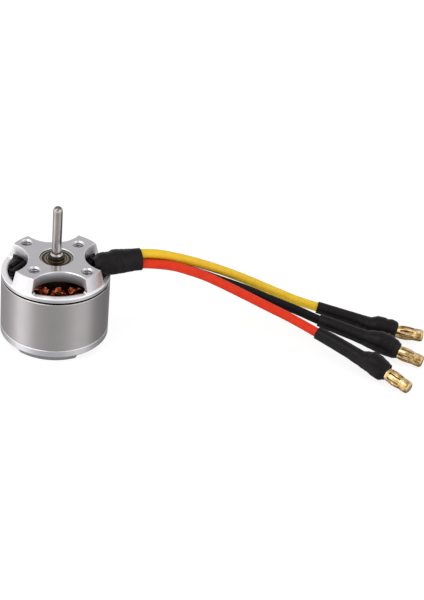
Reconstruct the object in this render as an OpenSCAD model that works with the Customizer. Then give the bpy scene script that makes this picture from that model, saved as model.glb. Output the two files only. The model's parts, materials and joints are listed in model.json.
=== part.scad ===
/* [Can and rotor] */
// Outer diameter of the motor
can_d = 26; // [25.5:0.1:27]
// Wall of the steel flux ring
ring_wall = 1.2; // [1.0:0.05:1.3]
// Height of the flux ring's lower edge
ring_z0 = 3.5; // [3.2:0.1:3.6]
// Height of the flux ring's upper edge
ring_z1 = 16.5; // [16.3:0.05:16.7]
// Number of magnets, always even
magnet_count = 14; // [10:2:14]
// Radial thickness of a magnet
magnet_t = 1.4; // [1.2:0.05:1.45]
// Number of cooling windows in the rear bell
bell_windows = 3; // [2:1:4]
// Angle that each rear window covers
bell_window_angle = 52; // [30:1:60]

/* [Shaft] */
// Shaft diameter
shaft_d = 2.3; // [2.0:0.1:2.5]
// Height of the shaft's tip
shaft_top = 35.5; // [32:0.1:40]

/* [Front mount] */
// Height of the mounting face
face_z = 21.8; // [21.5:0.1:22.5]
// Thickness of the mounting plate
plate_t = 2.7; // [2.4:0.1:3.2]
// Diameter of the wide pair's bolt circle
wide_pcd = 19; // [18.5:0.5:19]
// Diameter of the narrow pair's bolt circle
narrow_pcd = 16; // [15:0.5:17]
// Tap-drill diameter of the M3 mounting holes
tap_d = 2.5; // [2.4:0.05:2.6]
// Diameter of the round cut that makes each window
window_d = 14.4; // [13:0.1:14.8]
// Distance of that cut from the axis
window_r = 13.9; // [13.5:0.1:14.5]

/* [Bearings] */
// Outer diameter of both bearings
bearing_d = 8; // [8:0.5:8]
// Width of both bearings
bearing_w = 3.5; // [3.4:0.1:3.5]
// Depth of the front bearing below the mounting face
bearing_depth = 0.4; // [0.2:0.1:1.2]
// Balls in each bearing
ball_count = 7; // [6:1:7]

/* [Stator] */
// Number of teeth
tooth_count = 12; // [12:12:12]
// Air gap between teeth and magnets
air_gap = 0.25; // [0.2:0.05:0.4]
// Width of a tooth
tooth_w = 1.7; // [1.5:0.1:1.8]
// Height of the lamination stack
stack_h = 8; // [7:0.5:8]

/* [Leads] */
// Outer diameter of a silicone wire
wire_d = 2.3; // [2.0:0.1:2.3]
// Nominal diameter of the bullet connectors
bullet_d = 3.5; // [3.5:0.5:3.5]
// Outer diameter of the shrink sleeve on the three wires
bundle_d = 5.7; // [5.6:0.05:5.7]

/* [Hidden] */
$fn = 64;
eps = 0.01;
can_r = can_d / 2;
ring_ir = can_r - ring_wall;
shaft_r = shaft_d / 2;

// mount: a ring that closes the can, a cone, and a plate with a bearing tube under it
skirt_z = 17.05;
floor_z = 18.1;
skirt_ir = can_r - 1.5;
plate_z = face_z - plate_t;
tube_r = 5;
tube_z = 5;
shoulder_z = 14.5;
edge = 0.15;
wide_angle = 135;
narrow_angle = 45;

// bearings
race_r = bearing_d / 2;
front_bearing_z = face_z - bearing_depth - bearing_w;
rear_bearing_z = tube_z;
ball_r = 0.65;
ball_gap = 0.03;
ball_pitch_r = (race_r + shaft_r) / 2;
race_lip = 0.68;
shield_t = 0.2;

// stator
stator_r = ring_ir - magnet_t - air_gap;
stack_z = shoulder_z - 0.3 - stack_h;
yoke_r = 6.3;
shoe_r = stator_r - 0.95;
slot_mouth = 1.0;
insulator_t = 0.3;
coil_r0 = 6.5;
coil_r1 = 8.8;
coil_end = 2.4;
coil_top = 3.2;

// bell and its hub
bell_z = 1.7;
bell_floor = 2.3;
hub_r = 3.4;
hub_z = 4.6;
spigot_z = 4.8;
spigot_ir = ring_ir - 1.2;
screw_z = 3.3;

// shaft: a groove holds the collar, and a dome ends it
shaft_z0 = 0.4;
groove_z0 = 22.2;
groove_z1 = 23.0;
groove_r = shaft_r - 0.2;

// connectors: distances along each pin from its sleeve's mouth
pin_l = 6.4;
cup_s0 = -6.9;
cup_s1 = -1.9;
cup_r = 2;
cup_bore_r = 1.3;
pin_core_s0 = -0.6;
pin_core_s1 = 4.4;
pin_core_r = 0.95;
pin_r = 1.5;
spring_t = 0.25;
spring_slots = 8;

// lead routes, from the splice in the bundle sleeve to the solder cup
bundle_from = [9.2, -2.2, 21.05];
bundle_to = [19.95, -0.3, 21.05];
yellow_route = [
    [12.5, -1.45, 22.4], [16, -0.85, 22.4], [20.2, -0.1, 22.4], [24, 0.2, 22.05],
    [28, 0.6, 21], [32, 1.1, 19.6], [36, 1.6, 18], [40, 2.3, 16.1],
    [44, 2.9, 14.1], [48, 3.2, 12.1], [52, 3.1, 10.2], [56, 2.6, 8.5],
    [60, 1.7, 7.1], [65.2, 0.45, 5.8], [71.2, -1.9, 4.75], [77.2, -4.4, 2.95],
    [81.92, -5.85, 2.83]];
black_route = [
    [12.5, -0.5, 20.3], [16, 0.1, 20.3], [20.2, 0.85, 20.3], [24, 0.7, 19.8],
    [28, 0.6, 18.5], [32, 0.6, 17.2], [36, 0.6, 15.7], [40, 0.5, 14.1],
    [44, 0.5, 12.5], [48, 0.2, 10.9], [52, -0.5, 9.3], [56, -1.5, 8],
    [60, -3, 6.9], [64.5, -5.3, 5.8], [70.4, -8.4, 4.8], [76.3, -11.53, 3.85],
    [80.27, -13.95, 3.18]];
red_route = [
    [12.5, -2.85, 20.45], [16, -2.25, 20.45], [20.2, -1.5, 20.45], [24, -1.75, 20.4],
    [28, -1.75, 19.75], [32, -1.8, 18.45], [36, -2, 16.9], [40, -2.4, 15],
    [44, -2.9, 13], [48, -3.5, 11], [52, -4.5, 9.2], [56, -6, 7.7],
    [59.5, -8.1, 6.6], [62.9, -10.85, 5.8], [68.1, -15, 4.7], [73.18, -19.09, 3.69],
    [76.1, -22.46, 3.06]];
sleeve_point = 13;
cup_point = 15;

// each bullet pin: where it leaves its sleeve, and its tip
yellow_pin = [[84.50, -6.64, 2.76], [90.62, -8.51, 2.59]];
black_pin = [[82.55, -15.35, 2.79], [87.95, -18.66, 1.87]];
red_pin = [[77.86, -24.48, 2.69], [82.01, -29.27, 1.8]];

// sleeved winding ends, from the coils up into the bundle sleeve
lead_r = 0.6;
lead_routes = [
    [[8.4, 0.4, 17.8], [8.3, 0.3, 18.5], [8.6, -0.2, 19.8], [9.5, -0.9, 21.2],
     [10.9, -1.3, 22.1], [12.4, -1.45, 22.4]],
    [[8.5, -3.7, 17.8], [8.5, -3.6, 18.3], [8.9, -3.4, 19.2], [9.9, -3.15, 20.1], [12.4, -2.85, 20.45]],
    [[8.9, -1.7, 17.8], [8.7, -1.6, 18.3], [9, -1.4, 19.1], [10.2, -0.95, 19.95], [12.4, -0.5, 20.3]]];
star_runs = [[[-10.45, 1.35, 18.6], [-8.9, 3.2, 18.6]], [[-10.3, -1.3, 18.6], [-7.8, 1.6, 18.6]]];
star_r = 0.75;

steel = [0.72, 0.71, 0.70];
alloy = [0.76, 0.76, 0.78];
copper = [0.62, 0.26, 0.10];
black_sleeve = [0.10, 0.10, 0.11];
gold = [0.86, 0.66, 0.30];

// ---- tubes swept along a route ----
function unit(v) = v / norm(v);
function between(a, b, t) = a + t * (b - a);
function heading(p, i) = unit(p[min(i + 1, len(p) - 1)] - p[max(i - 1, 0)]);
function ring_points(c, t, r, up, sides) =
    let (s = unit(cross(t, up)), u = cross(s, t))
    [for (k = [0 : sides - 1])
        let (a = 360 / sides * k) c + r * (cos(a) * s + sin(a) * u)];

module swept_tube(route, r, up = [0, 0, 1]) {
    sides = 8;
    last = (len(route) - 1) * sides;
    points = [for (i = [0 : len(route) - 1])
        each ring_points(route[i], heading(route, i), r, up, sides)];
    walls = [for (i = [0 : len(route) - 2], k = [0 : sides - 1])
        let (a = i * sides + k, b = i * sides + (k + 1) % sides)
        [a, b, b + sides, a + sides]];
    near_cap = [for (k = [sides - 1 : -1 : 0]) k];
    far_cap = [for (k = [0 : sides - 1]) last + k];
    polyhedron(points, concat(walls, [near_cap, far_cap]), convexity = 6);
}

// open-ended tube with an outer and an inner radius at each point of its line
module swept_sleeve(line, outer, inner) {
    sides = 16;
    rows = len(line);
    lift = rows * sides;
    last = lift - sides;
    points = [for (r = [outer, inner], i = [0 : rows - 1])
        each ring_points(line[i], heading(line, i), r[i], [0, 0, 1], sides)];
    walls = [for (i = [0 : rows - 2], k = [0 : sides - 1])
        let (a = i * sides + k, b = i * sides + (k + 1) % sides)
        each [[a, b, b + sides, a + sides],
              [a + lift, a + sides + lift, b + sides + lift, b + lift]]];
    rims = [for (k = [0 : sides - 1])
        let (n = (k + 1) % sides)
        each [[n, k, k + lift, n + lift],
              [last + k, last + n, last + n + lift, last + k + lift]]];
    polyhedron(points, concat(walls, rims), convexity = 6);
}

// stands its children, drawn along +Z from the origin, on the line from a to b
module along(a, b) {
    d = b - a;
    translate(a)
        rotate([0, 90 - asin(d.z / norm(d)), atan2(d.y, d.x)])
            children();
}

module ring(r0, r1, z0, z1) {
    rotate_extrude() polygon([[r0, z0], [r1, z0], [r1, z1], [r0, z1]]);
}

// ---- front mount ----
module mount_body() {
    rotate_extrude()
        polygon([
            [skirt_ir, skirt_z], [can_r, skirt_z], [can_r, floor_z - edge],
            [can_r - edge, floor_z], [can_r - 0.3, floor_z],
            [skirt_ir + edge, face_z - edge], [skirt_ir - 0.05, face_z],
            [race_r + edge, face_z], [race_r, face_z - edge], [race_r, front_bearing_z],
            [race_r - 0.5, front_bearing_z], [race_r - 0.5, rear_bearing_z + bearing_w],
            [race_r, rear_bearing_z + bearing_w], [race_r, tube_z], [tube_r, tube_z],
            [tube_r, shoulder_z], [tube_r + 0.6, shoulder_z], [tube_r + 0.6, plate_z - 0.6],
            [tube_r + 1.2, plate_z], [skirt_ir, plate_z]]);
}

// round-nosed cutter: a cylinder with a fillet at its lower edge, which also breaks the plate's edge
module window_cut() {
    r = window_d / 2;
    fillet = 0.6;
    top = face_z - floor_z;
    translate([window_r, 0, floor_z])
        rotate_extrude()
            polygon(concat(
                [[0, 0]],
                [for (a = [270 : 15 : 360])
                    [r - fillet + fillet * cos(a), fillet + fillet * sin(a)]],
                [[r, top - 0.2], [r + 0.25, top + 0.05], [r + 0.25, 5], [0, 5]]));
}

module tapped_hole(pcd, angle) {
    rotate(angle) translate([pcd / 2, 0, 0]) {
        translate([0, 0, plate_z - 1]) cylinder(d = tap_d, h = plate_t + 2);
        translate([0, 0, face_z - 0.3]) cylinder(r1 = tap_d / 2, r2 = tap_d / 2 + 0.35, h = 0.35);
    }
}

module front_mount() {
    color(alloy) difference() {
        mount_body();
        for (k = [0 : 3]) rotate(90 * k) window_cut();
        for (side = [0, 180]) {
            tapped_hole(wide_pcd, wide_angle + side);
            tapped_hole(narrow_pcd, narrow_angle + side);
        }
    }
}

// ---- bearings ----
module outer_race(z) {
    inner = ball_pitch_r + race_lip;
    seat = inner + 0.3;
    color(steel) difference() {
        rotate_extrude()
            polygon([
                [seat, z], [race_r, z], [race_r, z + bearing_w], [seat, z + bearing_w],
                [seat, z + bearing_w - shield_t], [inner, z + bearing_w - shield_t],
                [inner, z + shield_t], [seat, z + shield_t]]);
        raceway(z);
    }
}

module inner_race(z) {
    color(steel) difference() {
        ring(shaft_r, ball_pitch_r - race_lip, z, z + bearing_w);
        raceway(z);
    }
}

module raceway(z) {
    translate([0, 0, z + bearing_w / 2])
        rotate_extrude() translate([ball_pitch_r, 0]) circle(r = ball_r + ball_gap + 0.08);
}

module each_ball(z) {
    for (k = [0 : ball_count - 1])
        rotate(360 / ball_count * k) translate([ball_pitch_r, 0, z + bearing_w / 2]) children();
}

module balls(z) {
    color(steel) each_ball(z) sphere(r = ball_r, $fn = 32);
}

module cage(z) {
    mid = z + bearing_w / 2;
    color("peru") difference() {
        ring(ball_pitch_r - 0.42, ball_pitch_r + 0.42, mid - 1.05, mid + 0.3);
        each_ball(z) sphere(r = ball_r + 0.1, $fn = 32);
    }
}

module shields(z) {
    inner = ball_pitch_r - race_lip + 0.12;
    outer = ball_pitch_r + race_lip + 0.3;
    color("dimgray") for (z0 = [z, z + bearing_w - shield_t]) ring(inner, outer, z0, z0 + shield_t);
}

module front_bearing_outer_race() { outer_race(front_bearing_z); }
module front_bearing_shields() { shields(front_bearing_z); }
module front_bearing_balls() { balls(front_bearing_z); }
module front_bearing_cage() { cage(front_bearing_z); }
module front_bearing_inner_race() { inner_race(front_bearing_z); }
module rear_bearing_outer_race() { outer_race(rear_bearing_z); }
module rear_bearing_shields() { shields(rear_bearing_z); }
module rear_bearing_balls() { balls(rear_bearing_z); }
module rear_bearing_cage() { cage(rear_bearing_z); }
module rear_bearing_inner_race() { inner_race(rear_bearing_z); }

// ---- stator ----
// plan of the toothed stack: a disc less its bore and one slot between each two teeth
module toothed_plan(r, tooth) {
    half_pitch = 180 / tooth_count;
    slot_half = function (x) (x * sin(half_pitch) - tooth / 2) / cos(half_pitch);
    difference() {
        circle(r = r);
        circle(r = tube_r);
        for (k = [0 : tooth_count - 1]) rotate(360 / tooth_count * k + half_pitch) {
            polygon([
                [yoke_r, slot_half(yoke_r)], [shoe_r, slot_half(shoe_r)],
                [shoe_r, -slot_half(shoe_r)], [yoke_r, -slot_half(yoke_r)]]);
            translate([shoe_r - eps, -slot_mouth / 2]) square([2, slot_mouth]);
        }
    }
}

module stator_core() {
    color([0.35, 0.33, 0.32])
        translate([0, 0, stack_z]) linear_extrude(stack_h) toothed_plan(stator_r, tooth_w);
}

module insulator(z) {
    color("forestgreen")
        translate([0, 0, z]) linear_extrude(insulator_t) toothed_plan(stator_r - 0.2, tooth_w + 0.1);
}

module upper_insulator() { insulator(stack_z + stack_h); }
module lower_insulator() { insulator(stack_z - insulator_t); }

// one coil round a tooth: wider outwards, with domed end turns
module coil() {
    gap = 0.06;
    wide = 2 * coil_r1;
    dome_r = 3.5;
    z0 = stack_z - insulator_t - coil_end;
    z1 = stack_z + stack_h + insulator_t + coil_top;
    difference() {
        intersection() {
            linear_extrude(z1)
                polygon([for (p = [[coil_r0, 1], [coil_r1, 1], [coil_r1, -1], [coil_r0, -1]])
                    [p.x, p.y * (p.x * tan(180 / tooth_count) - gap)]]);
            union() {
                translate([0, -dome_r, z0 + dome_r])
                    cube([wide, 2 * dome_r, z1 - z0 - 2 * dome_r]);
                for (z = [z0 + dome_r, z1 - dome_r])
                    translate([0, 0, z]) rotate([0, 90, 0]) cylinder(r = dome_r, h = wide);
            }
        }
        translate([0, -tooth_w / 2 - 0.1, z0 + coil_end - 0.03])
            cube([wide, tooth_w + 0.2, z1 - z0 - coil_end - coil_top + 0.06]);
    }
}

// a phase fills two neighbouring teeth, and the two opposite them
module phase(first) {
    color(copper) for (k = [first, first + 1, first + 6, first + 7])
        rotate(360 / tooth_count * k) coil();
}

module phase_a_coils() { phase(0); }
module phase_b_coils() { phase(2); }
module phase_c_coils() { phase(4); }

module phase_lead_sleeves() {
    color(black_sleeve) for (route = lead_routes) swept_tube(route, lead_r, [0, 1, 0]);
}

module star_point_sleeves() {
    color(black_sleeve) for (run = star_runs)
        along(run[0], run[1]) cylinder(r = star_r, h = norm(run[1] - run[0]));
}

// ---- rotor ----
module flux_ring() {
    color(alloy) rotate_extrude()
        polygon([
            [ring_ir, ring_z0], [can_r - edge, ring_z0], [can_r, ring_z0 + edge],
            [can_r, ring_z1 - edge], [can_r - edge, ring_z1], [ring_ir, ring_z1]]);
}

module magnets() {
    span = 360 / magnet_count - 3;
    color("dimgray") for (k = [0 : magnet_count - 1])
        rotate(360 / magnet_count * k - span / 2)
            rotate_extrude(angle = span)
                translate([ring_ir - magnet_t, stack_z - 1]) square([magnet_t, stack_h + 2]);
}

// an angular piece of a ring, about the X axis
module ring_sector(r0, r1, z0, z1, angle) {
    far = 2 * can_d;
    translate([0, 0, z0]) linear_extrude(z1 - z0) intersection() {
        difference() {
            circle(r = r1);
            circle(r = r0);
        }
        polygon([[0, 0], far * [cos(angle / 2), -sin(angle / 2)],
                 far * [cos(angle / 2), sin(angle / 2)]]);
    }
}

module rear_bell() {
    color(alloy) difference() {
        rotate_extrude()
            polygon([
                [shaft_r, shaft_z0], [hub_r, shaft_z0], [hub_r + 0.4, 0], [can_r - 1.4, 0],
                [can_r - 1.2, edge], [can_r - edge, bell_z], [can_r, bell_z + edge],
                [can_r, ring_z0 - edge], [can_r - edge, ring_z0], [ring_ir, ring_z0],
                [ring_ir, spigot_z], [spigot_ir, spigot_z], [spigot_ir, bell_floor],
                [hub_r, bell_floor], [hub_r, hub_z], [shaft_r, hub_z]]);
        for (k = [0 : bell_windows - 1]) rotate(77 + 360 / bell_windows * k) {
            ring_sector(hub_r + 1.6, spigot_ir - 0.6, -1, bell_floor + 1, bell_window_angle);
            ring_sector(spigot_ir - 0.7, can_r + 1, -1, bell_z - 0.1, bell_window_angle);
        }
        for (side = [0, 180]) rotate(side + 30) translate([0, 0, screw_z])
            rotate([0, 90, 0]) cylinder(r = 0.8, h = hub_r + 1);
    }
}

module bell_grub_screws() {
    color("dimgray") for (side = [0, 180]) rotate(side + 30)
        translate([shaft_r, 0, screw_z]) rotate([0, 90, 0]) difference() {
            cylinder(r = 0.8, h = 2);
            translate([0, 0, 1.2]) cylinder(r = 0.4, h = 2, $fn = 6);
        }
}

module shaft() {
    dome_z = shaft_top - shaft_r;
    color(steel) {
        difference() {
            translate([0, 0, shaft_z0]) cylinder(r = shaft_r, h = dome_z - shaft_z0);
            ring(groove_r, shaft_r + 1, groove_z0, groove_z1);
        }
        intersection() {
            translate([0, 0, dome_z]) sphere(r = shaft_r);
            translate([0, 0, dome_z - eps]) cylinder(r = shaft_r, h = 2 * shaft_r);
        }
    }
}

module rear_shim_washer() {
    color(steel) ring(shaft_r, ball_pitch_r - race_lip, hub_z, rear_bearing_z);
}

module shaft_spacer() {
    color([0.16, 0.15, 0.15]) ring(shaft_r, 2, front_bearing_z + bearing_w, groove_z0 - 0.05);
}

module shaft_collar() {
    color(steel) rotate_extrude()
        polygon([
            [groove_r, groove_z0], [shaft_r + 0.35, groove_z0], [shaft_r + 0.35, groove_z0 + 0.4],
            [shaft_r + 0.05, groove_z1], [groove_r, groove_z1]]);
}

// ---- leads ----
module lead_bundle_sleeve() {
    l = norm(bundle_to - bundle_from);
    color(black_sleeve) along(bundle_from, bundle_to) ring(bundle_d / 2 - 0.2, bundle_d / 2, 0, l);
}

module yellow_wire() { color([0.90, 0.72, 0.14]) swept_tube(yellow_route, wire_d / 2); }
module black_wire() { color([0.08, 0.08, 0.09]) swept_tube(black_route, wire_d / 2); }
module red_wire() { color([0.90, 0.22, 0.12]) swept_tube(red_route, wire_d / 2); }

// stands its children, drawn with a pin's mouth at the origin, on that pin
module on_pin(pin) {
    along(pin[0], pin[1]) children();
}

// shrink sleeve: snug on the wire, swollen over the solder cup, drawn in at the mouth
module connector_sleeve(route, pin) {
    back = [7.1, 5.6, 3.5, 1.8, 0.7, 0];
    t = unit(pin[1] - pin[0]);
    line = concat(
        [for (i = [sleeve_point, sleeve_point + 1]) route[i],
         for (k = [0.4, 0.8]) between(route[cup_point - 1], route[cup_point], k)],
        [for (d = back) pin[0] - d * t]);
    color(black_sleeve) swept_sleeve(line,
        [1.6, 1.6, 1.6, 1.85, 2.6, 2.85, 2.9, 2.75, 2.4, 1.95],
        [1.25, 1.25, 1.25, 1.35, 2.25, 2.25, 2.25, 2.25, 1.8, 1.6]);
}

module bullet_pin(pin) {
    color(gold) on_pin(pin) rotate_extrude()
        polygon([
            [0, cup_s1 - 0.8], [cup_bore_r, cup_s1 - 0.8], [cup_bore_r, cup_s0], [cup_r, cup_s0],
            [cup_r, cup_s1], [pin_r, cup_s1], [pin_r, pin_core_s0], [pin_core_r, pin_core_s0],
            [pin_core_r, pin_core_s1], [pin_r, pin_core_s1], [pin_r, pin_l - 0.4],
            [pin_r - 0.4, pin_l], [0, pin_l]]);
}

// sprung barrel on the pin: bulged, with a slot every few degrees
module bullet_spring(pin) {
    l = pin_core_s1 - pin_core_s0 - 0.2;
    end_r = pin_r - 0.02;
    bulge = bullet_d / 2 - end_r;
    belly = function (t) end_r + bulge * sin(180 * t);
    steps = 6;
    color(gold) on_pin(pin) translate([0, 0, pin_core_s0 + 0.1]) difference() {
        rotate_extrude()
            polygon(concat(
                [for (i = [0 : steps]) [belly(i / steps), l * i / steps]],
                [for (i = [steps : -1 : 0]) [belly(i / steps) - spring_t, l * i / steps]]));
        for (k = [0 : spring_slots - 1]) rotate(360 / spring_slots * k)
            translate([0.5, -0.16, 1]) cube([2, 0.32, l - 1.6]);
    }
}

module yellow_connector_sleeve() { connector_sleeve(yellow_route, yellow_pin); }
module black_connector_sleeve() { connector_sleeve(black_route, black_pin); }
module red_connector_sleeve() { connector_sleeve(red_route, red_pin); }
module yellow_bullet_pin() { bullet_pin(yellow_pin); }
module black_bullet_pin() { bullet_pin(black_pin); }
module red_bullet_pin() { bullet_pin(red_pin); }
module yellow_bullet_spring() { bullet_spring(yellow_pin); }
module black_bullet_spring() { bullet_spring(black_pin); }
module red_bullet_spring() { bullet_spring(red_pin); }

front_mount();
front_bearing_outer_race();
front_bearing_shields();
front_bearing_balls();
front_bearing_cage();
front_bearing_inner_race();
rear_bearing_outer_race();
rear_bearing_shields();
rear_bearing_balls();
rear_bearing_cage();
rear_bearing_inner_race();
stator_core();
upper_insulator();
lower_insulator();
phase_a_coils();
phase_b_coils();
phase_c_coils();
phase_lead_sleeves();
star_point_sleeves();
flux_ring();
magnets();
rear_bell();
bell_grub_screws();
shaft();
rear_shim_washer();
shaft_spacer();
shaft_collar();
lead_bundle_sleeve();
yellow_wire();
black_wire();
red_wire();
yellow_connector_sleeve();
black_connector_sleeve();
red_connector_sleeve();
yellow_bullet_pin();
black_bullet_pin();
red_bullet_pin();
yellow_bullet_spring();
black_bullet_spring();
red_bullet_spring();
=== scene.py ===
"""A brushless outrunner motor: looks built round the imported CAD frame."""
import json
import math
import random

import bmesh
import bpy
from mathutils import Matrix, Vector, noise


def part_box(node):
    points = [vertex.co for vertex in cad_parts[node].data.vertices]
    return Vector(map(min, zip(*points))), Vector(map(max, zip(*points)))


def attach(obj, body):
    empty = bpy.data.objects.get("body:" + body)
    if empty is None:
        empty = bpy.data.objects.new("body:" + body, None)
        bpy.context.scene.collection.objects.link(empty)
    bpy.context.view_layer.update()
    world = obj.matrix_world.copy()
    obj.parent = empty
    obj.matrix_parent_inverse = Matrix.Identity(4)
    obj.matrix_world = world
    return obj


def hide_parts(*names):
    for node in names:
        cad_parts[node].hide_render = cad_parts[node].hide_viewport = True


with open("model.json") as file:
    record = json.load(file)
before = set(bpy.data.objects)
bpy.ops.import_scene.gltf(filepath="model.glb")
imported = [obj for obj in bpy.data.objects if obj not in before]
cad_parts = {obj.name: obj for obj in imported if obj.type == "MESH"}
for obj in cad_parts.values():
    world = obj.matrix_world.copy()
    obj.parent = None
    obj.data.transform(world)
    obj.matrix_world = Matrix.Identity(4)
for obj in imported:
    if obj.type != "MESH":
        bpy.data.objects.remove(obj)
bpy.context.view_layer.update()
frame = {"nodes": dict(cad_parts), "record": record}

MM = 0.001
TAU = 2 * math.pi
COLOURS = ("yellow", "black", "red")
UP = Vector((0, 0, 1))
WIRE_D = 2.3
SHARP_ANGLE = math.radians(40)
BROKEN_EDGE = 0.00012  # the radius of a machined edge, in metres
NOISE_RANGE = (0.3, 0.7)  # where most of a noise's values lie

# The camera's place in millimetres, and its angles in degrees.
CAMERA_AT = Vector((-32.3, -346.2, 236.3))
CAMERA_TURN, CAMERA_DOWN, CAMERA_ROLL = -11.54, 32.78, 5.28
LENS, SENSOR_WIDTH = 103.05, 36
BEARING_TURN = math.radians(101.5)  # turns the wall behind the camera to the +X axis

# The routes of the three leads, in millimetres: the same points as in the CAD source.
ROUTES = {
    "yellow": [
        (12.5, -1.45, 22.4), (16, -0.85, 22.4), (20.2, -0.1, 22.4), (24, 0.2, 22.05),
        (28, 0.6, 21), (32, 1.1, 19.6), (36, 1.6, 18), (40, 2.3, 16.1),
        (44, 2.9, 14.1), (48, 3.2, 12.1), (52, 3.1, 10.2), (56, 2.6, 8.5),
        (60, 1.7, 7.1), (65.2, 0.45, 5.8), (71.2, -1.9, 4.75), (77.2, -4.4, 2.95),
        (81.92, -5.85, 2.83)],
    "black": [
        (12.5, -0.5, 20.3), (16, 0.1, 20.3), (20.2, 0.85, 20.3), (24, 0.7, 19.8),
        (28, 0.6, 18.5), (32, 0.6, 17.2), (36, 0.6, 15.7), (40, 0.5, 14.1),
        (44, 0.5, 12.5), (48, 0.2, 10.9), (52, -0.5, 9.3), (56, -1.5, 8),
        (60, -3, 6.9), (64.5, -5.3, 5.8), (70.4, -8.4, 4.8), (76.3, -11.53, 3.85),
        (80.27, -13.95, 3.18)],
    "red": [
        (12.5, -2.85, 20.45), (16, -2.25, 20.45), (20.2, -1.5, 20.45), (24, -1.75, 20.4),
        (28, -1.75, 19.75), (32, -1.8, 18.45), (36, -2, 16.9), (40, -2.4, 15),
        (44, -2.9, 13), (48, -3.5, 11), (52, -4.5, 9.2), (56, -6, 7.7),
        (59.5, -8.1, 6.6), (62.9, -10.85, 5.8), (68.1, -15, 4.7), (73.18, -19.09, 3.69),
        (76.1, -22.46, 3.06)],
}
# Each bullet pin: where it leaves its sleeve, and its tip.
PINS = {
    "yellow": ((84.50, -6.64, 2.76), (90.62, -8.51, 2.59)),
    "black": ((82.55, -15.35, 2.79), (87.95, -18.66, 1.87)),
    "red": ((77.86, -24.48, 2.69), (82.01, -29.27, 1.8)),
}
# The middle line of the shrink sleeve round the three leads.
BUNDLE_FROM = Vector((8.6, -2.3, 21.05))
BUNDLE_TO = Vector((19.95, -0.3, 21.05))


# ---- camera ----
def make_camera():
    """A long lens, looking down on the motor with its leads running off to the right."""
    cam = bpy.data.objects.new("camera", bpy.data.cameras.new("camera"))
    bpy.context.collection.objects.link(cam)
    cam.data.sensor_width = SENSOR_WIDTH
    cam.data.lens = LENS
    cam.data.clip_start = 0.01
    turn = Matrix.Rotation(math.radians(CAMERA_TURN), 4, "Z")
    tilt = Matrix.Rotation(math.radians(90 - CAMERA_DOWN), 4, "X")
    roll = Matrix.Rotation(math.radians(CAMERA_ROLL), 4, "Z")
    place = Matrix.Translation(CAMERA_AT * MM)
    cam.matrix_world = place @ turn @ tilt @ roll
    bpy.context.scene.camera = cam


# ---- node materials ----
class Nodes:
    """Adds nodes to one tree; a value may be a number, a colour or another node's socket."""

    def __init__(self, tree):
        self.nodes, self.links = tree.nodes, tree.links

    def feed(self, socket, value):
        if isinstance(value, bpy.types.NodeSocket):
            self.links.new(value, socket)
        else:
            socket.default_value = value

    def node(self, kind, **inputs):
        """A new node; an input's name has an underscore for each space."""
        n = self.nodes.new(kind)
        for key, value in inputs.items():
            self.feed(n.inputs[key.replace("_", " ")], value)
        return n

    def maths(self, operation, *values):
        n = self.nodes.new("ShaderNodeMath")
        n.operation = operation
        for socket, value in zip(n.inputs, values):
            self.feed(socket, value)
        return n.outputs["Value"]

    def component(self, vector, axis):
        return self.node("ShaderNodeSeparateXYZ", Vector=vector).outputs[axis]

    def between(self, value, zero, one):
        """0 where value is at zero, 1 where it is at one, smooth in between."""
        n = self.node("ShaderNodeMapRange", Value=value, From_Min=zero, From_Max=one)
        n.interpolation_type = "SMOOTHSTEP"
        return n.outputs["Result"]

    def mapped(self, value, low, high, to_low=0.0, to_high=1.0):
        """Turns the range from low to high into another one, in a straight line."""
        return self.node("ShaderNodeMapRange", Value=value, From_Min=low, From_Max=high,
                         To_Min=to_low, To_Max=to_high).outputs["Result"]

    def mixed(self, factor, a, b):
        """A colour that goes from a to b as the factor goes from 0 to 1."""
        n = self.nodes.new("ShaderNodeMix")
        n.data_type = "RGBA"
        for key, value in (("Factor", factor), ("A", a), ("B", b)):
            self.feed(n.inputs[key], value)
        return n.outputs["Result"]

    def ramp(self, value, stops):
        """A colour ramp through (position, colour) stops."""
        n = self.node("ShaderNodeValToRGB", Fac=value)
        elements = n.color_ramp.elements
        while len(elements) < len(stops):
            elements.new(0.5)
        for element, (position, colour) in zip(elements, stops):
            element.position = position
            element.color = (*colour, 1)
        return n.outputs["Color"]


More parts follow.
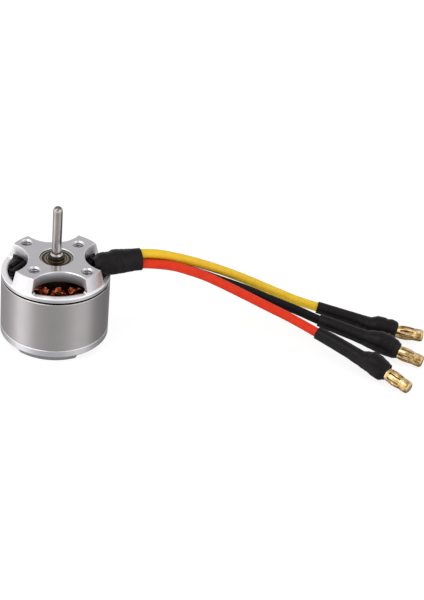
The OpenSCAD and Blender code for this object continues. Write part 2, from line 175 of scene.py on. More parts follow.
class Shader(Nodes):
    """A Principled material with its colour, roughness and bump from textures in object space."""

    def __init__(self, name, **sockets):
        self.mat = bpy.data.materials.new(name)
        self.mat.use_nodes = True
        super().__init__(self.mat.node_tree)
        self.bsdf = self.nodes["Principled BSDF"]
        for socket, value in sockets.items():
            self.bsdf.inputs[socket.replace("_", " ")].default_value = value
        self.coords = self.nodes.new("ShaderNodeTexCoord").outputs["Object"]
        self.normal = None

    def stretched(self, x, y, z):
        """The object's coordinates times a scale on each axis."""
        return self.node("ShaderNodeMapping", Vector=self.coords,
                         Scale=(x, y, z)).outputs["Vector"]

    def height(self):
        """Height above the table, in metres."""
        return self.component(self.coords, "Z")

    def spread(self):
        """Distance from the shaft's axis, in metres."""
        n = self.node("ShaderNodeVectorMath", Vector=self.stretched(1, 1, 0))
        n.operation = "LENGTH"
        return n.outputs["Value"]

    def radius(self):
        """The same distance as a vector along X, so that a texture makes turned rings."""
        return self.node("ShaderNodeCombineXYZ", X=self.spread()).outputs["Vector"]

    def noise(self, scale, detail=3, vector=None, roughness=0.55):
        return self.node("ShaderNodeTexNoise", Vector=vector or self.coords, Scale=scale,
                         Detail=detail, Roughness=roughness).outputs["Fac"]

    def both(self, a, b):
        """A mask that is 1 only where two masks are 1."""
        return self.maths("MULTIPLY", a, b)

    def either(self, a, b):
        """The greater of two masks."""
        return self.maths("MAXIMUM", a, b)

    def colour(self, value, *stops):
        self.links.new(self.ramp(value, stops), self.bsdf.inputs["Base Color"])

    def mottle(self, value, low, high):
        """The base colour goes from one to another with a noise."""
        self.colour(value, *zip(NOISE_RANGE, (low, high)))

    def paint(self, mask, colour):
        """Covers the base colour with another where the mask is 1."""
        base = self.bsdf.inputs["Base Color"]
        self.links.new(self.mixed(mask, base.links[0].from_socket, (*colour, 1)), base)

    def blend(self, socket, value, low, high, zero, one):
        """A socket that goes from zero to one as the value goes from low to high."""
        self.links.new(self.mapped(value, low, high, zero, one), self.bsdf.inputs[socket])

    def roughness(self, value, low, high):
        self.blend("Roughness", value, *NOISE_RANGE, low, high)

    def soften(self):
        """Rounds the shading across sharp edges, as a broken edge catches light."""
        self.normal = self.node("ShaderNodeBevel", Radius=BROKEN_EDGE).outputs["Normal"]

    def bump(self, value, distance, strength):
        """Adds a layer of bump; distance is its height in metres."""
        n = self.node("ShaderNodeBump", Height=value, Distance=distance, Strength=strength)
        if self.normal is not None:
            self.links.new(self.normal, n.inputs["Normal"])
        self.normal = n.outputs["Normal"]
        self.links.new(self.normal, self.bsdf.inputs["Normal"])


def grey(value, warm=0.0):
    return (value * (1 + warm), value, value * (1 - warm))


# In the materials, a pair such as (0.0184, 0.0182) is where a mask is 0 and where it is 1.
def machined_alloy():
    """Clean turned aluminium with duller milled walls, with painted light and shade: the milled
    walls darker low down and paler at their outer end, the sills paler, and the bearing tube under
    the plate painted near black as shade.
    """
    # by how much of the surface's normal points up or down
    on_wall, on_flat = (0.12, 0.06), (0.90, 0.97)
    inside_rim, deep_down, deep_in = (0.0124, 0.0122), (0.0222, 0.0188), (0.0120, 0.0105)
    outer_end = (-0.0088, -0.0108)
    sill_top, sill_foot, sill_edge = (0.0184, 0.0182), (0.0177, 0.0179), (0.0117, 0.0120)
    below_plate, near_tube = (0.0189, 0.0187), (0.0068, 0.0066)

    s = Shader("machined_alloy", Metallic=1.0)
    s.soften()
    s.mottle(s.noise(300), (0.630, 0.615, 0.640), (0.660, 0.645, 0.670))
    s.bump(s.noise(7000, 4), 0.8e-6, 0.5)
    height, spread = s.height(), s.spread()
    normal = s.nodes.new("ShaderNodeNewGeometry").outputs["True Normal"]
    upright = s.maths("ABSOLUTE", s.component(normal, "Z"))
    s.blend("Roughness", upright, *on_flat, 0.27, 0.14)
    milled = s.both(s.between(upright, *on_wall), s.between(spread, *inside_rim))
    # painted shade: the milled walls darker low down and nearer the middle
    deep = s.both(s.between(height, *deep_down), s.between(spread, *deep_in))
    s.paint(s.both(milled, deep), (0.13, 0.110, 0.105))
    # painted light: the milled walls paler towards their outer end on the -X side
    lit_end = s.between(s.component(s.coords, "X"), *outer_end)
    s.paint(s.both(milled, lit_end), (0.96, 0.94, 0.92))
    # painted light: the window sills painted paler
    lit_sill = s.both(s.between(height, *sill_top), s.between(height, *sill_foot))
    lit_sill = s.both(lit_sill, s.between(spread, *sill_edge))
    s.paint(lit_sill, (0.90, 0.885, 0.90))
    s.blend("Metallic", s.either(milled, lit_sill), 0, 1, 1.0, 0.6)
    # painted shade: the bearing tube under the plate is painted near black
    tube_shade = s.both(s.between(height, *below_plate), s.between(spread, *near_tube))
    s.paint(tube_shade, (0.030, 0.026, 0.020))
    return s.mat


def plated_can():
    """Satin plated steel with a fine grain running round the can, painted near black inside its rim
    as shade in the gap under the mount.
    """
    inside = (0.01288, 0.01282)
    s = Shader("plated_can", Metallic=1.0, Anisotropic=0.2)
    s.soften()
    s.mottle(s.noise(200, 2), (0.455, 0.432, 0.436), (0.475, 0.452, 0.456))
    s.roughness(s.noise(2500, 4, s.stretched(0.2, 0.2, 1)), 0.22, 0.27)
    s.bump(s.noise(9000, 3, s.stretched(0.3, 0.3, 1)), 0.5e-6, 0.5)
    # painted shade: near black inside the rim, so that the gap under the mount reads dark
    s.paint(s.between(s.spread(), *inside), (0.02, 0.02, 0.02))
    return s.mat


def polished_steel():
    """The ground shaft, with a painted dark reflection on the top of its domed tip."""
    tip = (0.0349, 0.0353)
    s = Shader("polished_steel", Metallic=1.0)
    s.mottle(s.noise(500), (0.40, 0.362, 0.352), (0.47, 0.430, 0.418))
    # painted reflection: the top of the tip painted dark, as where it would mirror something dark
    # overhead
    s.paint(s.between(s.height(), *tip), (0.17, 0.155, 0.150))
    s.roughness(s.noise(5000, 3, s.stretched(0.3, 0.3, 1)), 0.10, 0.18)
    s.bump(s.noise(9000, 2, s.stretched(0.05, 0.05, 1)), 0.8e-6, 0.5)
    return s.mat


def bearing_steel():
    """Ground races: bright, with painted shade in a thin dark ring where the outer race meets its
    seat.
    """
    seam = (0.00378, 0.00386)
    s = Shader("bearing_steel", Metallic=1.0)
    rings = s.noise(12000, 2, s.radius())
    s.mottle(s.noise(900), (0.40, 0.375, 0.35), (0.48, 0.45, 0.42))
    s.roughness(rings, 0.12, 0.24)
    s.bump(rings, 1e-6, 0.4)
    # painted shade: a thin near black ring at the seam between the outer race and its seat
    s.paint(s.between(s.spread(), *seam), (0.03, 0.025, 0.02))
    return s.mat


def shield_steel():
    """A pressed shield painted in rings of reflection: dark where it mirrors the dark parts over
    it, brown between, and pale and gold rings as painted glints.
    """
    inner_edge, outer_edge = 0.0020, 0.0036
    dark, brown = (0.045, 0.036, 0.028), (0.10, 0.080, 0.060)
    gold, glint = (0.30, 0.23, 0.135), (0.30, 0.265, 0.225)
    s = Shader("shield_steel", Metallic=1.0)
    # painted reflections and glints, ring by ring out from the inner edge
    s.colour(s.mapped(s.spread(), inner_edge, outer_edge),
             (0.0, gold), (0.14, gold), (0.20, dark), (0.34, brown), (0.42, glint),
             (0.50, glint), (0.58, brown), (0.70, dark), (0.90, dark), (0.97, brown))
    s.roughness(s.noise(2600, 3, s.radius()), 0.12, 0.20)
    s.bump(s.noise(5200, 2, s.radius()), 30e-6, 0.7)
    return s.mat


def black_steel():
    """Blackened steel, with a painted brown and gold reflection of the shield in a band near the
    bearing.
    """
    reflection_top, reflection_foot = (0.02152, 0.02148), (0.0211, 0.0212)
    s = Shader("black_steel", Metallic=0.9)
    s.mottle(s.noise(1500), (0.030, 0.026, 0.022), (0.060, 0.050, 0.040))
    s.roughness(s.noise(4000), 0.18, 0.30)
    s.bump(s.noise(9000, 2, s.radius()), 1e-6, 0.5)
    height = s.height()
    # painted reflection: a gold-brown band at this height, where the spacer mirrors the shield
    s.paint(s.both(s.between(height, *reflection_top), s.between(height, *reflection_foot)), (0.34, 0.26, 0.15))
    return s.mat


def cage_brass():
    """Pressed brass, for the bearings' cages."""
    s = Shader("cage_brass", Metallic=1.0)
    s.mottle(s.noise(1800), (0.52, 0.34, 0.12), (0.66, 0.46, 0.19))
    s.roughness(s.noise(4000), 0.22, 0.36)
    s.bump(s.noise(7000, 3), 1e-6, 0.5)
    return s.mat


def gold_plating():
    """Thin gold over turned and stamped metal, in uneven patches."""
    s = Shader("gold_plating", Metallic=1.0)
    s.colour(s.noise(750), (0.36, (0.38, 0.235, 0.085)), (0.50, (0.64, 0.44, 0.19)),
             (0.63, (0.92, 0.72, 0.42)))
    s.roughness(s.noise(3500, 3), 0.08, 0.18)
    s.bump(s.noise(1400, 2), 20e-6, 0.6)
    return s.mat


def enamelled_copper():
    """Magnet wire under clear enamel: deep orange with hard glints."""
    s = Shader("enamelled_copper", Metallic=1.0, Coat_Weight=0.35, Coat_Roughness=0.08)
    s.colour(s.noise(1000, 4), (0.38, (0.06, 0.007, 0.002)), (0.54, (0.32, 0.048, 0.011)),
             (0.68, (0.88, 0.27, 0.08)))
    s.roughness(s.noise(3000), 0.16, 0.30)
    s.bump(s.noise(5000, 3), 6e-6, 0.5)
    return s.mat


def lamination_steel():
    """The stack's edge: thin sheets, one on the other."""
    s = Shader("lamination_steel", Metallic=0.8)
    sheets = s.noise(5000, 1, s.stretched(0.001, 0.001, 1))
    s.colour(sheets, (0.35, grey(0.055, 0.06)), (0.65, grey(0.17, 0.03)))
    s.roughness(s.noise(2500), 0.32, 0.5)
    s.bump(sheets, 40e-6, 0.6)
    return s.mat


def insulator_card():
    """Dark green fibre, matt."""
    s = Shader("insulator_card")
    s.mottle(s.noise(2200), (0.008, 0.012, 0.008), (0.016, 0.022, 0.015))
    s.roughness(s.noise(3000), 0.45, 0.65)
    s.bump(s.noise(6000), 6e-6, 0.5)
    return s.mat


def magnet_nickel():
    """Nickel plate on the magnets."""
    s = Shader("magnet_nickel", Metallic=1.0)
    s.mottle(s.noise(1200), grey(0.26, 0.03), grey(0.38, 0.02))
    s.roughness(s.noise(3500), 0.25, 0.4)
    s.bump(s.noise(5000), 3e-6, 0.5)
    return s.mat


def shrink_sleeve():
    """Heat-shrink tube: near black, satin, with soft wrinkles."""
    s = Shader("shrink_sleeve", Specular_IOR_Level=0.13)
    s.mottle(s.noise(700, 4), (0.0050, 0.0040, 0.0048), (0.0095, 0.0075, 0.0088))
    s.roughness(s.noise(1500, 4), 0.26, 0.44)
    s.bump(s.noise(900, 3), 50e-6, 0.7)
    s.bump(s.noise(7000, 4), 5e-6, 0.6)
    return s.mat


def silicone(name, low, high, shine):
    """Soft satin silicone, a little translucent."""
    s = Shader(name, Subsurface_Weight=0.12, Subsurface_Scale=0.0006, Specular_IOR_Level=shine)
    s.mottle(s.noise(600, 4), low, high)
    s.roughness(s.noise(2200, 4), 0.36, 0.50)
    s.bump(s.noise(4500, 4), 4e-6, 0.6)
    return s.mat


MATERIALS = {make.__name__: make() for make in (
    machined_alloy, plated_can, polished_steel, bearing_steel, shield_steel, black_steel,
    cage_brass, gold_plating, enamelled_copper, lamination_steel, insulator_card, magnet_nickel)}
MATERIALS["black_sleeving"] = shrink_sleeve()
# Each silicone's two shades and its specular level.
SILICONES = {
    "yellow_silicone": ((0.68, 0.42, 0.009), (0.76, 0.50, 0.017), 0.30),
    "black_silicone": ((0.004, 0.004, 0.005), (0.008, 0.007, 0.008), 0.09),
    "red_silicone": ((0.59, 0.021, 0.003), (0.67, 0.034, 0.006), 0.18),
}
MATERIALS.update({name: silicone(name, *look) for name, look in SILICONES.items()})


# ---- pieces ----
def piece(name, verts, faces, slot, body="stator", replaces=()):
    """A mesh piece from points in millimetres, smooth with crisp edges, riding on a body."""
    mesh = bpy.data.meshes.new(name)
    mesh.from_pydata([Vector(v) * MM for v in verts], [], faces)
    bm = bmesh.new()
    bm.from_mesh(mesh)
    bmesh.ops.recalc_face_normals(bm, faces=bm.faces)
    bm.to_mesh(mesh)
    bm.free()
    mesh.polygons.foreach_set("use_smooth", [True] * len(mesh.polygons))
    mesh.set_sharp_from_angle(angle=SHARP_ANGLE)
    obj = bpy.data.objects.new(name, mesh)
    bpy.context.collection.objects.link(obj)
    obj.data.materials.append(MATERIALS[slot])
    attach(obj, body)
    if replaces:
        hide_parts(*replaces)
    return obj


def smooth_path(points, step):
    """A Catmull-Rom line through the points, sampled about every step millimetres."""
    pts = [Vector(p) for p in points]
    pts = [2 * pts[0] - pts[1], *pts, 2 * pts[-1] - pts[-2]]
    line = []
    for p0, p1, p2, p3 in zip(pts, pts[1:], pts[2:], pts[3:]):
        n = max(2, round((p2 - p1).length / step))
        for i in range(n):
            t = i / n
            square = (2 * p0 - 5 * p1 + 4 * p2 - p3) * t * t
            cube = (3 * p1 - p0 - 3 * p2 + p3) * t ** 3
            line.append(0.5 * (2 * p1 + (p2 - p0) * t + square + cube))
    line.append(pts[-2])
    return line


def spokes(line, radius, sides, up):
    """For each point of a line, a ring of (point, radius, direction), without twist.

    radius is a function of the distance along the line and the angle round it.
    """
    rings, along = [], 0.0
    for i, p in enumerate(line):
        along += (p - line[i - 1]).length if i else 0
        ahead = (line[min(i + 1, len(line) - 1)] - line[max(i - 1, 0)]).normalized()
        side = ahead.cross(up).normalized()
        up = side.cross(ahead).normalized()
        angles = [TAU * k / sides for k in range(sides)]
        rings.append([(p, radius(along, a), math.cos(a) * side + math.sin(a) * up)
                      for a in angles])
    return rings


def rings_to_faces(rows, sides, closed):
    """Quads between rings; closed joins the last ring to the first, or else caps both ends."""
    faces = []
    for i in range(rows if closed else rows - 1):
        here, there = i * sides, (i + 1) % rows * sides
        for k in range(sides):
            n = (k + 1) % sides
            faces.append((here + k, here + n, there + n, there + k))
    if not closed:
        faces.append(tuple(range(sides)))
        faces.append(tuple(range((rows - 1) * sides, rows * sides)))
    return faces


def tube(line, radius, sides, up=UP):
    """A closed tube along a line."""
    rings = spokes(line, radius, sides, up)
    verts = [p + r * d for ring in rings for p, r, d in ring]
    return verts, rings_to_faces(len(rings), sides, closed=False)


def sleeve(line, radius, wall, sides):
    """An open-ended tube with a wall: rings out along the outside, then back along the inside."""
    rings = spokes(line, radius, sides, UP)
    verts = [p + r * d for ring in rings for p, r, d in ring]
    verts += [p + (r - wall) * d for ring in reversed(rings) for p, r, d in ring]
    return verts, rings_to_faces(2 * len(rings), sides, closed=True)


def merged(parts):
    """Several (verts, faces) as one."""
    verts, faces = [], []
    for v, f in parts:
        faces += [tuple(i + len(verts) for i in face) for face in f]
        verts += list(v)
    return verts, faces


def steps(value, table):
    """Smooth interpolation in a short table of (position, value)."""
    for (a, va), (b, vb) in zip(table, table[1:]):
        if value <= b:
            t = min(1, max(0, (value - a) / (b - a)))
            t = t * t * (3 - 2 * t)
            return va + (vb - va) * t
    return table[-1][1]


# ---- leads ----
def wire(colour):
    """One silicone lead along its whole route, from the splice to the solder cup."""
    curve = bpy.data.curves.new(f"{colour}_lead", "CURVE")
    curve.dimensions = "3D"
    curve.bevel_depth = WIRE_D / 2 * MM
    curve.bevel_resolution = 8
    curve.use_fill_caps = True
    line = smooth_path(ROUTES[colour], 1.0)
    spline = curve.splines.new("POLY")
    spline.points.add(len(line) - 1)
    for point, p in zip(spline.points, line):
        point.co = (*(p * MM), 1)
    spline.use_smooth = True
    obj = bpy.data.objects.new(f"{colour}_lead", curve)
    bpy.context.collection.objects.link(obj)
    curve.materials.append(MATERIALS[f"{colour}_silicone"])
    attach(obj, "stator")
    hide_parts(f"{colour}_wire")
    length = sum((b - a).length for a, b in zip(line, line[1:])) * MM
    return obj, length


ABOVE = math.radians(123)  # the side of a lead that faces up and back
SLEEVE_ROWS = 60


def straight(start, end):
    """Evenly spaced points from one end to the other."""
    return [start.lerp(end, i / SLEEVE_ROWS) for i in range(SLEEVE_ROWS + 1)]


def lopsided(top, bottom, a):
    """A radius that goes from one value above to another below."""
    return (top + bottom) / 2 + (top - bottom) / 2 * math.cos(a - ABOVE)


def bundle_sleeve():
    """The shrink sleeve round the leads: lumpy over the splices, three-sided at its mouth."""
    length = (BUNDLE_TO - BUNDLE_FROM).length
    above = [(0, 1.2), (1.3, 2.46), (2.4, 2.62), (3.9, 2.66), (5.2, 3.00), (7.0, 2.98),
             (8.0, 2.82), (length, 2.66)]
    below = [(0, 2.2), (1.2, 2.72), (2.6, 3.00), (4.6, 3.05), (6.6, 2.92), (8.6, 2.76),
             (length, 2.66)]
    wall, sides = 0.22, 64
    first_lead = math.radians(80)

    def radius(s, a):
        y, z = math.cos(a), math.sin(a)
        base = lopsided(steps(s, above), steps(s, below), a)
        three = 0.07 * math.cos(3 * (a - first_lead)) * steps(s, [(4.6, 0), (length, 1)])
        lump = 0.13 * noise.noise(Vector((s * 0.6 - 0.36, y * 1.4, z * 1.4)))
        fine = 0.05 * noise.noise(Vector((s * 2.0 - 1.2, y * 3.5, z * 3.5)))
        return base + three + lump + fine

    shape = sleeve(straight(BUNDLE_FROM, BUNDLE_TO), radius, wall, sides)
    return piece("bundle_shrink_sleeve", *shape, "black_sleeving",
                 replaces=["lead_bundle_sleeve"])


# Each connector's sleeve: the ends of its middle line, and its outline as (distance along,
# radius above, radius below).
CONNECTOR_SLEEVES = {
    "yellow": ((65.19, 0.45, 5.80), (84.36, -6.21, 2.80), [
        (0, 1.46, 1.50), (3, 1.44, 1.70), (7, 1.42, 1.76), (10, 1.40, 2.05), (12, 1.38, 2.60),
        (13.5, 1.40, 3.10), (14.3, 1.78, 3.15), (15.2, 2.24, 3.05), (16.8, 2.36, 2.80),
        (17.7, 2.16, 2.60), (18.7, 2.40, 2.42), (19.95, 2.24, 2.20), (20.52, 1.84, 1.80)]),
    "black": ((64.51, -5.29, 5.80), (82.74, -15.14, 2.75), [
        (0, 1.58, 1.58), (3.5, 1.72, 1.66), (8.5, 1.84, 1.70), (11.6, 1.95, 1.84),
        (13.9, 2.72, 2.02), (15.6, 3.20, 2.20), (17.8, 3.18, 2.28), (19.6, 2.62, 2.18),
        (20.95, 1.95, 1.80)]),
    "red": ((62.91, -10.86, 5.80), (77.86, -23.77, 2.75), [
        (0, 1.62, 1.56), (4, 1.80, 1.62), (8.5, 1.76, 1.76), (12.3, 1.70, 2.06),
        (13.9, 2.40, 2.22), (15.2, 3.02, 2.36), (16.9, 2.86, 2.62), (18.6, 2.40, 2.74),
        (19.99, 2.02, 2.04)]),
}


def connector_sleeve(colour, seed):
    """The shrink sleeve over a lead's end: snug on the wire, swollen over the solder cup."""
    start, end, outline = CONNECTOR_SLEEVES[colour]
    start, end = Vector(start), Vector(end)
    length = (end - start).length
    above = [(s, r) for s, r, _ in outline]
    below = [(s, r) for s, _, r in outline]
    wall, sides = 0.3, 56

    def radius(s, a):
        around = Vector((math.cos(a), math.sin(a), 0))
        base = lopsided(steps(s, above), steps(s, below), a)
        swollen = steps(s, [(11, 0.3), (14, 1), (length - 1, 1), (length, 0.3)])
        lump = 0.08 * noise.noise(Vector((s * 0.5 + seed, around.x * 1.2, around.y * 1.2)))
        fine = 0.03 * noise.noise(Vector((s * 1.8, around.x * 3 + seed, around.y * 3)))
        return base + (lump + fine) * swollen

    shape = sleeve(straight(start, end), radius, wall, sides)
    return piece(f"{colour}_connector_shrink", *shape, "black_sleeving",
                 replaces=[f"{colour}_connector_sleeve"])


def revolved(profile, sides):
    """A closed turned solid about Z; its (radius, height) points start and end on the axis."""
    verts = [Vector((0, 0, profile[0][1]))]
    inner = profile[1:-1]
    for r, z in inner:
        verts += [Vector((r * math.cos(TAU * k / sides), r * math.sin(TAU * k / sides), z))
                  for k in range(sides)]
    verts.append(Vector((0, 0, profile[-1][1])))
    faces = []
    for k in range(sides):
        n = (k + 1) % sides
        faces.append((0, 1 + n, 1 + k))
        last = 1 + (len(inner) - 1) * sides
        faces.append((last + k, last + n, len(verts) - 1))
        for i in range(len(inner) - 1):
            a = 1 + i * sides
            faces.append((a + k, a + n, a + sides + n, a + sides + k))
    return verts, faces


def rounded(profile, size, count):
    """The profile with each inner corner cut into a small arc."""
    out = [profile[0]]
    for a, b, c in zip(profile, profile[1:], profile[2:]):
        pa, pb, pc = (Vector((*p, 0)) for p in (a, b, c))
        # less than half of each side, so that two corners never meet
        cut = min(size, (pa - pb).length * 0.45, (pc - pb).length * 0.45)
        u, v = (pa - pb).normalized() * cut, (pc - pb).normalized() * cut
        for i in range(count + 1):
            t = i / count
            p = pb + u * (1 - t) ** 2 + v * t ** 2
            out.append((p.x, p.y))
    out.append(profile[-1])
    return out


def on_pin(verts, colour):
    """Points drawn along +Z from a pin's mouth, laid on that pin."""
    mouth, tip = (Vector(p) for p in PINS[colour])
    turn = (tip - mouth).to_track_quat("Z", "Y")
    return [mouth + turn @ Vector(v) for v in verts]


# A bullet's turned core, (radius, height) from its cup to its tip; its sleeve's mouth is at 0.
PIN_PROFILE = [(0, -2.7), (1.30, -2.7), (1.30, -6.9), (2.0, -6.9), (2.0, -1.9), (1.5, -1.9),
               (1.5, -0.6), (0.95, -0.6), (0.95, 4.3), (1.48, 4.3), (1.53, 4.45), (1.53, 5.75),
               (1.40, 6.15), (1.05, 6.38), (0.6, 6.4), (0, 6.4)]


def bullet_pin(colour):
    """The core of a bullet: the cup's rim, the waist under the barrel, and the tip."""
    corner, arc_points, sides = 0.12, 5, 48
    verts, faces = revolved(rounded(PIN_PROFILE, corner, arc_points), sides)
    return piece(f"{colour}_bullet_core", on_pin(verts, colour), faces, "gold_plating",
                 replaces=[f"{colour}_bullet_pin"])


def bullet_spring(colour, turn):
    """The sprung barrel: bulged leaves between fine slots, joined by a band at each end."""
    leaves, per_leaf, rows = 8, 8, 28
    length, band, z0, wall = 4.8, 0.95, -0.5, 0.22
    end_r, bulge, roll_in, roll_length, flattening = 1.49, 0.27, 0.04, 0.25, 0.05
    slot = math.radians(17)
    angles = []
    for leaf in range(leaves):
        first = turn + TAU * leaf / leaves + slot / 2
        span = TAU / leaves - slot
        angles += [first + span * i / (per_leaf - 1) for i in range(per_leaf)]
    sides = len(angles)
    outer, inner = [], []
    for row in range(rows + 1):
        z = length * row / rows
        arch = math.sin(math.pi * z / length)
        r = end_r + bulge * arch ** 1.4
        # the front end rolls over into the pin
        r -= roll_in * max(0, 1 - (length - z) / roll_length) ** 2
        # each leaf is a little flatter than the circle
        for k, a in enumerate(angles):
            across = (k % per_leaf) / (per_leaf - 1) * 2 - 1
            flat = r - flattening * across ** 2 * arch
            outer.append(Vector((flat * math.cos(a), flat * math.sin(a), z0 + z)))
            inner.append(Vector(((flat - wall) * math.cos(a), (flat - wall) * math.sin(a), z0 + z)))

    def kept(row, k):
        """Whether the cell is metal, not a slot; the front band is half as long."""
        z = length * (row + 0.5) / rows
        return not (k % per_leaf == per_leaf - 1 and band < z < length - band * 0.5)

    cells = {(row, k) for row in range(rows) for k in range(sides) if kept(row, k)}
    lift = len(outer)
    faces = []
    for row, k in sorted(cells):
        n = (k + 1) % sides
        here, there = row * sides, (row + 1) * sides
        a, b, c, d = here + k, here + n, there + n, there + k
        faces += [(a, b, c, d), (a + lift, d + lift, c + lift, b + lift)]
        # a wall on each side of the cell that has no neighbour
        for edge, beside in (((a, b), (row - 1, k)), ((c, d), (row + 1, k)),
                             ((b, c), (row, n)), ((d, a), (row, (k - 1) % sides))):
            if beside not in cells:
                faces.append((edge[0], edge[0] + lift, edge[1] + lift, edge[1]))
    return piece(f"{colour}_bullet_barrel", on_pin(outer + inner, colour), faces,
                 "gold_plating", replaces=[f"{colour}_bullet_spring"])


def make_leads():
    """The three leads, each with its connector, and the bundle sleeve."""
    bundle = bundle_sleeve()
    for i, colour in enumerate(COLOURS):
        lead, length = wire(colour)
        # each sleeve has its own lumps, and each barrel is turned a little from the last
        on_it = [connector_sleeve(colour, 7.3 * i), bullet_pin(colour),
                 bullet_spring(colour, 0.3 * i)]
        if colour == "yellow":
            on_it.append(bundle)


# ---- windings and sleeving inside ----
TEETH = 12
ENAMELLED_D = 0.46


def coil_path(rng):
    """One coil round a tooth that points along +X: its turns as one line, in millimetres."""
    half_y, bottom, top = 0.93, 5.5, 14.9  # the insulated tooth
    mid_z, half_z = (bottom + top) / 2, (top - bottom) / 2
    to_next_coil = 0.22
    layers = [(6.75, 8.6, 5), (8.5, 6.85, 4), (6.95, 8.5, 4)]
    line = []
    for layer, (x0, x1, turns) in enumerate(layers):
        out = ENAMELLED_D * (layer + 0.5)
        pitch = (x1 - x0) / (turns - 1)
        for turn in range(turns):
            x = x0 + (x1 - x0) * turn / (turns - 1)
            shift = rng.uniform(-0.08, 0.08)
            hy = min(half_y + out, x * math.tan(math.pi / TEETH) - to_next_coil)
            hz = half_z + out * 1.1
            corner = min(0.75, hy * 0.6)
            crown = 0.38 + 0.10 * layer + shift
            around = []
            for cy, cz, first in ((1, 1, 0), (-1, 1, 90), (-1, -1, 180), (1, -1, 270)):
                # the front end turns stand prouder than the rear ones
                lift = 0.62 + 0.05 * layer if cz > 0 else 0
                for a in (0, 30, 60, 90):
                    rad = math.radians(first + a)
                    around.append((cy * (hy - corner) + corner * math.cos(rad),
                                   cz * (hz - corner + lift) + corner * math.sin(rad)))
                if first in (0, 180):
                    crest = cz * (hz + lift)
                    for side in (cy, -cy):
                        height = crest + cz * crown * rng.uniform(0.5, 1.0)
                        around.append((side * hy * 0.3, height))
            for i, (y, z) in enumerate(around):
                step = pitch * i / len(around) * 0.9
                line.append(Vector((x + step + shift * 0.5, y, mid_z + z)))
    return line


def make_coils():
    """Three phases, each of two pairs of neighbouring coils that face each other."""
    rng = random.Random(4)
    for letter, first in (("a", 0), ("b", 2), ("c", 4)):
        parts = []
        for tooth in (first, first + 1, first + 6, first + 7):
            turn = Matrix.Rotation(TAU * tooth / TEETH, 3, "Z")
            line = [turn @ p for p in smooth_path(coil_path(rng), 0.5)]
            parts.append(tube(line, lambda s, a: ENAMELLED_D / 2, 7, turn @ Vector((1, 0, 0))))
        piece(f"phase_{letter}_windings", *merged(parts), "enamelled_copper",
              replaces=[f"phase_{letter}_coils"])


# The middle lines of the sleeves on the winding ends and on the star joints.
LEAD_ROUTES = [
    [(8.4, 0.5, 16.9), (8.3, 0.3, 18.5), (8.6, -0.2, 19.8), (9.5, -0.9, 21.2),
     (10.9, -1.3, 22.1), (12.4, -1.45, 22.4)],
    [(8.4, -3.7, 16.9), (8.5, -3.6, 18.3), (8.9, -3.4, 19.2), (9.9, -3.15, 20.1),
     (12.4, -2.85, 20.45)],
    [(8.8, -1.7, 16.9), (8.7, -1.6, 18.3), (9, -1.4, 19.1), (10.2, -0.95, 19.95),
     (12.4, -0.5, 20.3)],
]
STAR_ROUTES = [
    [(-10.5, 1.3, 18.4), (-10.1, 1.75, 18.6), (-9.6, 2.35, 18.65), (-9.2, 2.85, 18.6),
     (-8.85, 3.3, 18.4)],
    [(-10.4, -1.4, 18.45), (-9.8, -0.7, 18.6), (-9.1, 0.1, 18.65), (-8.4, 0.9, 18.6),
     (-7.6, 1.75, 18.6), (-6.9, 2.5, 18.6)],
]


def make_inner_sleeving():
    """The thin sleeves that are seen through the mount's windows."""
    def lead_radius(s, a):
        return 0.6 + 0.03 * math.sin(3 * s)

    up = Vector((0, 1, 0))  # these rise, so they need another up than the Z axis
    parts = [tube(smooth_path(route, 0.3), lead_radius, 20, up) for route in LEAD_ROUTES]
    piece("phase_lead_sleeving", *merged(parts), "black_sleeving", replaces=["phase_lead_sleeves"])

    def star_radius(s, a):
        # the shrunk sleeve shows the twisted ends beneath it
        ridges = 0.05 * math.cos(2 * a - 1.3 * s)
        return 0.72 + ridges + 0.03 * noise.noise(Vector((s * 0.8, math.cos(a), math.sin(a))))

    parts = [tube(smooth_path(route, 0.25), star_radius, 30) for route in STAR_ROUTES]
    piece("star_point_shrink", *merged(parts), "black_sleeving", replaces=["star_point_sleeves"])


def make_threads():
    """A fine thread's crests in each of the four mounting holes."""
    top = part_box("front_mount")[1].z / MM
    turns, per_turn, pitch = 5, 28, 0.5
    helix_r, crest_r, below_face = 1.24, 0.10, 0.35
    parts = []
    for pitch_circle, first in ((16, 45), (19, 135)):
        for side in (0, 180):
            a = math.radians(first + side)
            centre = Vector((pitch_circle / 2 * math.cos(a), pitch_circle / 2 * math.sin(a), 0))
            line = []
            for i in range(turns * per_turn + 1):
                t = TAU * i / per_turn
                z = top - below_face - pitch * i / per_turn
                line.append(centre + Vector((helix_r * math.cos(t), helix_r * math.sin(t), z)))
            parts.append(tube(line, lambda s, a: crest_r, 6))
    piece("mounting_threads", *merged(parts), "machined_alloy")


# ---- the CAD nodes ----
def dress_nodes():
    """Gives each CAD node the material of the slot that the record states for it."""
    slots = {s["node"]: s["material_slot"] for s in frame["record"]["subparts"]}
    for name, obj in frame["nodes"].items():
        obj.data.materials.clear()
        obj.data.materials.append(MATERIALS[slots[name]])


# ---- studio ----
def area_light(name, energy, size, where, aim):
    light = bpy.data.lights.new(name, "AREA")
    light.energy = energy
    light.shape = "RECTANGLE"
    light.size, light.size_y = size
    obj = bpy.data.objects.new(name, light)
    bpy.context.collection.objects.link(obj)
    obj.location = where
    obj.rotation_euler = (Vector(aim) - Vector(where)).to_track_quat("-Z", "Y").to_euler()


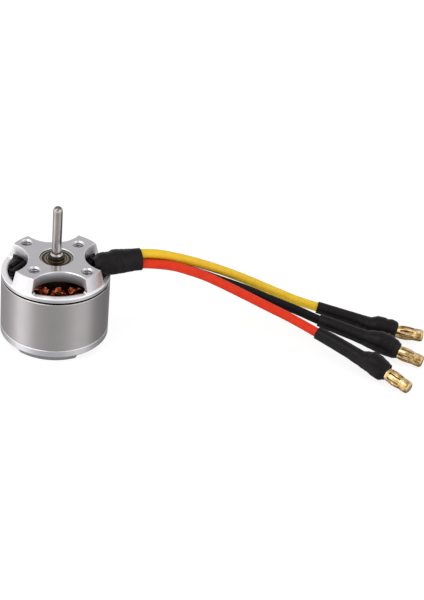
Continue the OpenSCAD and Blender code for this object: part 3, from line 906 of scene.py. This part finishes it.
def make_world():
    """A white studio with softboxes, brighter on some bearings and heights than on others."""
    world = bpy.data.worlds.new("studio")
    bpy.context.scene.world = world
    world.use_nodes = True
    w = Nodes(world.node_tree)
    turned = w.nodes.new("ShaderNodeVectorRotate")
    turned.rotation_type = "Z_AXIS"
    turned.inputs["Angle"].default_value = BEARING_TURN
    generated = w.nodes.new("ShaderNodeTexCoord").outputs["Generated"]
    w.links.new(generated, turned.inputs["Vector"])
    x, y, z = w.node("ShaderNodeSeparateXYZ", Vector=turned.outputs["Vector"]).outputs
    # 0 to 1 round the studio: 0.5 is the wall behind the camera, less is to the camera's left
    bearing = w.maths("ADD", w.maths("DIVIDE", w.maths("ARCTAN2", y, x), TAU), 0.5)

    def band(*stops):
        """The brightness round the studio; stops are (degrees from the camera's wall, grey)."""
        return w.ramp(bearing, [(0.5 + degrees / 360, grey(level)) for degrees, level in stops])

    under = band((-180, 0.28), (180, 0.28))
    low = band((-180, 0.28), (-140, 0.45), (-112, 0.58), (-92, 0.86), (-72, 1.46), (-54, 1.18),
               (-34, 0.68), (0, 0.55), (28, 0.60), (58, 0.90), (78, 0.84), (100, 0.42),
               (135, 0.28), (180, 0.28))
    level = band((-180, 0.75), (-120, 1.0), (-75, 1.75), (-40, 1.50), (0, 1.0), (50, 1.45),
                 (90, 1.0), (180, 0.75))
    high = band((-180, 0.66), (-120, 0.85), (-70, 1.7), (-30, 0.75), (0, 0.6), (30, 0.9),
                (60, 1.5), (110, 0.8), (180, 0.66))
    top = band((-180, 1.0), (180, 1.0))
    # each band gives way to the next between two heights, as a part of straight up
    colour = under
    for above, start, end in ((low, -0.95, -0.72), (level, -0.42, -0.08), (high, 0.15, 0.45),
                              (top, 0.88, 0.97)):
        colour = w.mixed(w.between(z, start, end), colour, above)
    w.links.new(colour, w.nodes["Background"].inputs["Color"])
    w.nodes["Background"].inputs["Strength"].default_value = 1.0


def make_studio():
    """A lit white table, the world round it, and two soft lamps."""
    mesh = bpy.data.meshes.new("floor")
    half = 3.0
    corners = [(-half, -half, 0), (half, -half, 0), (half, half, 0), (-half, half, 0)]
    mesh.from_pydata(corners, [], [(0, 1, 2, 3)])
    floor = bpy.data.objects.new("floor", mesh)
    bpy.context.collection.objects.link(floor)
    # it glows, so that it shows only faint shadows, and metal mirrors the studio instead of it
    s = Shader("studio_floor", Specular_IOR_Level=0.0, Emission_Color=(1, 1, 1, 1),
               Emission_Strength=0.84)
    s.mottle(s.noise(3), grey(0.20), grey(0.22))
    s.roughness(s.noise(5), 0.8, 0.9)
    mesh.materials.append(s.mat)
    floor.visible_glossy = False

    make_world()
    middle = (0.02, 0, 0.012)
    area_light("key", 1.2, (0.5, 0.5), (-0.35, -0.25, 0.75), middle)
    area_light("fill", 0.4, (0.6, 0.4), (0.6, -0.5, 0.45), middle)
    bpy.context.scene.view_settings.view_transform = "Standard"


make_camera()
make_leads()
make_coils()
make_inner_sleeving()
make_threads()
dress_nodes()
make_studio()
